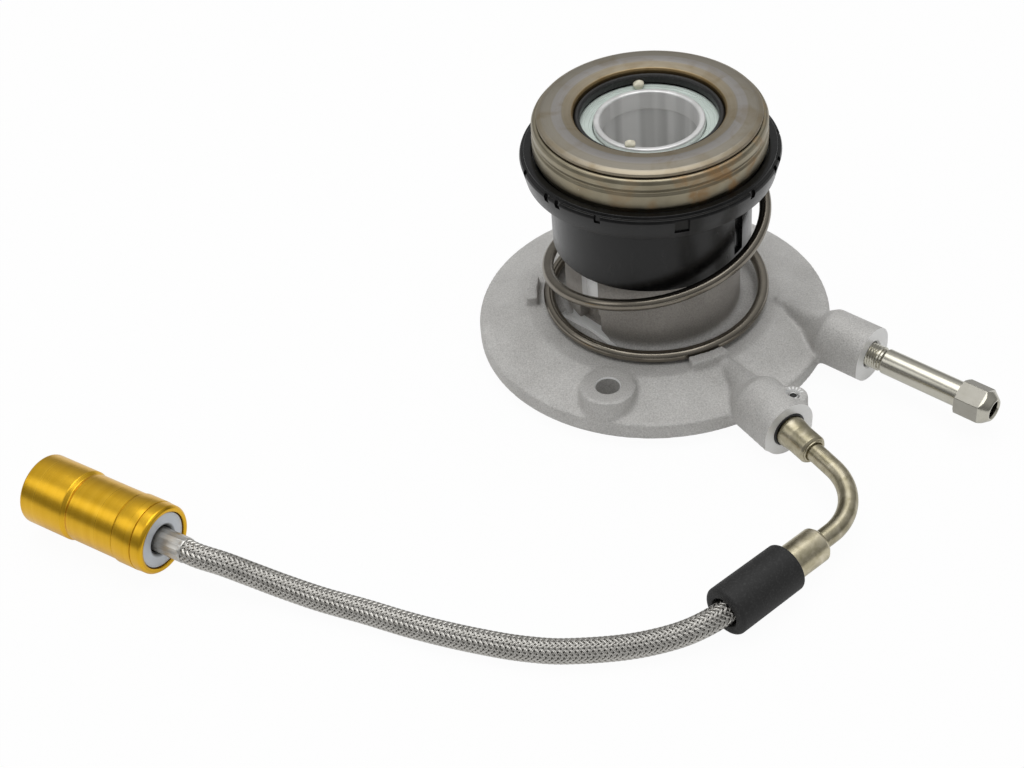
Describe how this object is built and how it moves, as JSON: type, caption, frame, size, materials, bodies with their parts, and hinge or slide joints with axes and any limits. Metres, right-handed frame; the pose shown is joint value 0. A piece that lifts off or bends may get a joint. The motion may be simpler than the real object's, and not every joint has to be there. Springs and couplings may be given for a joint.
{
  "type": "clutch slave cylinder",
  "caption": "Concentric hydraulic clutch release cylinder with a bearing, preload spring, bleed screw, elbow pipe and braided hose ending in a quick coupling.",
  "frame": {"origin": "on the bore axis, level with the flange face that bolts to the gearbox", "axes": "+Z along the bore axis towards the release bearing, -Y towards the inlet side of the hose"},
  "size_m": [0.3273, 0.2266, 0.0962],
  "materials": {
    "cast_aluminium": "sand cast, matte",
    "tube_steel": "turned, bright rim",
    "piston_alloy": "pale grey-green anodised",
    "black_nylon": "moulded, satin",
    "cage_nylon": "moulded",
    "bearing_steel": "pressed, heat stained",
    "race_steel": "ground, heat stained",
    "ball_steel": "polished",
    "spring_steel": "oiled, dark",
    "screw_plate": "bright zinc plate",
    "zinc_plate": "yellow zinc plate",
    "ferrule_steel": "bright, swaged",
    "grey_alloy": "matte grey",
    "gold_sleeve": "gold anodised, glossy",
    "steel_braid": "stainless braid",
    "sleeve_rubber": "moulded, matte",
    "seal_rubber": "smooth"
  },
  "bodies": {
    "housing": {"housing": "cast_aluminium", "guide_tube": "tube_steel", "tube_seal": "seal_rubber", "roll_pin": "spring_steel", "preload_spring": "spring_steel", "inlet_fitting": "zinc_plate", "inlet_seal": "seal_rubber", "elbow_pipe": "zinc_plate", "hose_ferrule": "zinc_plate", "rubber_sleeve": "sleeve_rubber", "braided_hose": "steel_braid", "swaged_ferrule": "ferrule_steel", "coupling_tail": "grey_alloy", "coupling_body": "ferrule_steel", "coupling_seal": "seal_rubber", "coupling_spring": "spring_steel", "poppet_spring": "spring_steel", "sleeve_stop_ring": "spring_steel", "locking_ball_1": "ball_steel", "locking_ball_2": "ball_steel", "locking_ball_3": "ball_steel", "locking_ball_4": "ball_steel", "locking_ball_5": "ball_steel", "locking_ball_6": "ball_steel"},
    "piston": {"piston": "piston_alloy", "piston_seal": "seal_rubber", "carrier": "black_nylon", "retaining_ring": "spring_steel", "inner_seal": "seal_rubber", "bearing_shell": "bearing_steel", "lower_race": "ball_steel"},
    "thrust_race": {"thrust_race": "race_steel"},
    "ball_cage": {"bearing_cage": "cage_nylon", "bearing_ball_01": "ball_steel", "bearing_ball_02": "ball_steel", "bearing_ball_03": "ball_steel", "bearing_ball_04": "ball_steel", "bearing_ball_05": "ball_steel", "bearing_ball_06": "ball_steel", "bearing_ball_07": "ball_steel", "bearing_ball_08": "ball_steel", "bearing_ball_09": "ball_steel", "bearing_ball_10": "ball_steel", "bearing_ball_11": "ball_steel", "bearing_ball_12": "ball_steel", "bearing_ball_13": "ball_steel", "bearing_ball_14": "ball_steel", "bearing_ball_15": "ball_steel"},
    "bleed_screw": {"bleed_screw": "screw_plate"},
    "coupling_sleeve": {"coupling_sleeve": "gold_sleeve"},
    "coupling_poppet": {"coupling_poppet": "ferrule_steel"}
  },
  "joints": [
    {"name": "piston_slide", "type": "slide", "parent": "housing", "child": "piston", "axis": [0, 0, 1], "range_m": [-0.02, 0], "stiffness_N_per_m": 2000, "springref_m": 0.015, "deforming": ["preload_spring"]},
    {"name": "race_spin", "type": "hinge", "parent": "piston", "child": "thrust_race", "pos_m": [0, 0, 0.0846], "axis": [0, 0, 1], "continuous": true},
    {"name": "cage_spin", "type": "hinge", "parent": "piston", "child": "ball_cage", "pos_m": [0, 0, 0.0846], "axis": [0, 0, 1], "continuous": true},
    {"name": "bleed_screw_turn", "type": "hinge", "parent": "housing", "child": "bleed_screw", "pos_m": [0.07605, -0.03084, 0.008], "axis": [0.7782, -0.628, 0], "range_deg": [0, 180]},
    {"name": "coupling_sleeve_slide", "type": "slide", "parent": "housing", "child": "coupling_sleeve", "axis": [0.8738, -0.4863, 0], "range_m": [0, 0.005], "stiffness_N_per_m": 1200, "springref_m": -0.003, "deforming": ["coupling_spring"]},
    {"name": "coupling_poppet_slide", "type": "slide", "parent": "housing", "child": "coupling_poppet", "axis": [0.8738, -0.4863, 0], "range_m": [0, 0.003], "stiffness_N_per_m": 400, "springref_m": -0.002, "deforming": ["poppet_spring"]}
  ],
  "couplings": [
    {"joint": "cage_spin", "follows": "race_spin", "ratio": 0.5}
  ]
}
